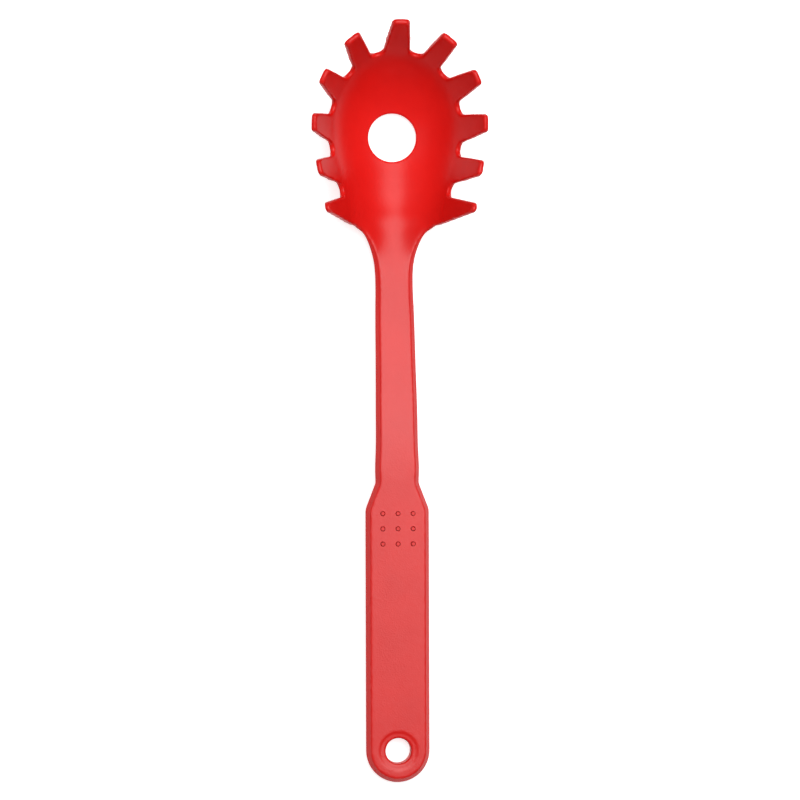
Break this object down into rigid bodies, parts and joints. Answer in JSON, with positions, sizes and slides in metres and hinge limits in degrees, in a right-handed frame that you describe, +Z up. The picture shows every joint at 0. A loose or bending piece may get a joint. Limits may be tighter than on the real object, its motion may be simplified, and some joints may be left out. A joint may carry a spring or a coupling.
{
  "type": "pasta server",
  "caption": "Moulded pasta server: an open toothed bowl with a drain hole on a slim bent neck and a flat bevelled grip with a hanging hole.",
  "frame": {"origin": "centre of the bounding box's bottom face: the server rests on its back, on the end of its grip and the underside of its bowl", "axes": "+Y from the grip towards the bowl, +Z up out of the bowl's mouth, +X across to the right"},
  "size_m": [0.0696, 0.2954, 0.0466],
  "materials": {
    "nylon": "satin moulded nylon, slightly smoother in the bowl"
  },
  "bodies": {
    "root": {"handle": "nylon", "grip_dots": "nylon", "neck": "nylon", "bowl": "nylon", "tine_1": "nylon", "tine_2": "nylon", "tine_3": "nylon", "tine_4": "nylon", "tine_5": "nylon", "tine_6": "nylon", "tine_7": "nylon", "tine_8": "nylon", "tine_9": "nylon", "tine_10": "nylon", "tine_11": "nylon"}
  },
  "joints": []
}
